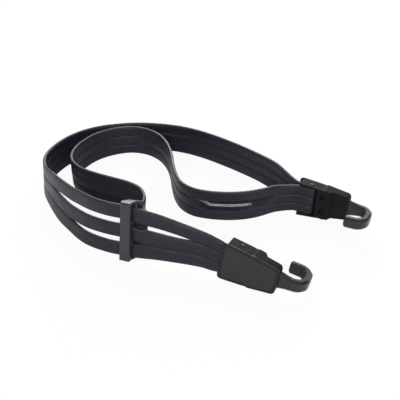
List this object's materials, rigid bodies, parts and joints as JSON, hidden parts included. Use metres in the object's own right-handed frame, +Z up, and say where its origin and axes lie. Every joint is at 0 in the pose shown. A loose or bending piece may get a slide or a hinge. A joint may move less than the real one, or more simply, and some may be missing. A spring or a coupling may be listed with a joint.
{
  "type": "luggage strap with hooks",
  "caption": "Flat elastic luggage strap of slit rubber webbing, lying on edge in a loop, with a moulded hook at each end and a two-bar length slider.",
  "frame": {"origin": "middle of the footprint on the floor that the strap lies on", "axes": "+X along the straight front stretch towards the hooks, +Y from the front hook towards the rear hook, +Z up across the strap's width"},
  "size_m": [0.2376, 0.1436, 0.0401],
  "materials": {
    "strap_rubber": "satin black with a slight blue cast",
    "hook_nylon": "black moulded nylon, semi-gloss",
    "cover_nylon": "charcoal moulded nylon, fine matte grain",
    "slider_nylon": "dark grey moulded nylon, satin",
    "black_steel": "black-plated steel"
  },
  "bodies": {
    "strap": {"strap_outer": "strap_rubber", "strap_return": "strap_rubber", "strap_tail": "strap_rubber", "strap_front": "strap_rubber"},
    "slider": {"slider": "slider_nylon"},
    "front_loop": {"strap_front_loop": "strap_rubber", "front_bar": "black_steel"},
    "front_hook": {"front_hook": "hook_nylon", "front_cover": "cover_nylon", "front_screw_upper": "black_steel", "front_screw_lower": "black_steel"},
    "rear_hook": {"rear_hook": "hook_nylon", "rear_cover": "cover_nylon", "rear_bar": "black_steel", "rear_screw_upper": "black_steel", "rear_screw_lower": "black_steel"}
  },
  "joints": [
    {"name": "slider_slide", "type": "slide", "parent": "strap", "child": "slider", "axis": [0.9914, 0.1305, 0], "range_m": [-0.008, 0.008], "deforming": ["strap_tail"]},
    {"name": "front_stretch", "type": "slide", "parent": "strap", "child": "front_loop", "axis": [1, 0, 0], "range_m": [0, 0.02], "stiffness_N_per_m": 4000, "deforming": ["strap_front"]},
    {"name": "front_swing", "type": "hinge", "parent": "front_loop", "child": "front_hook", "pos_m": [0.05644, -0.053, 0.0127], "axis": [0.1115, 0.1736, 0.9785], "range_deg": [-4, 20]},
    {"name": "rear_swing", "type": "hinge", "parent": "strap", "child": "rear_hook", "pos_m": [0.0748, 0.03, 0.01286], "axis": [0, 0.0785, 0.9969], "range_deg": [-20, 4]}
  ]
}
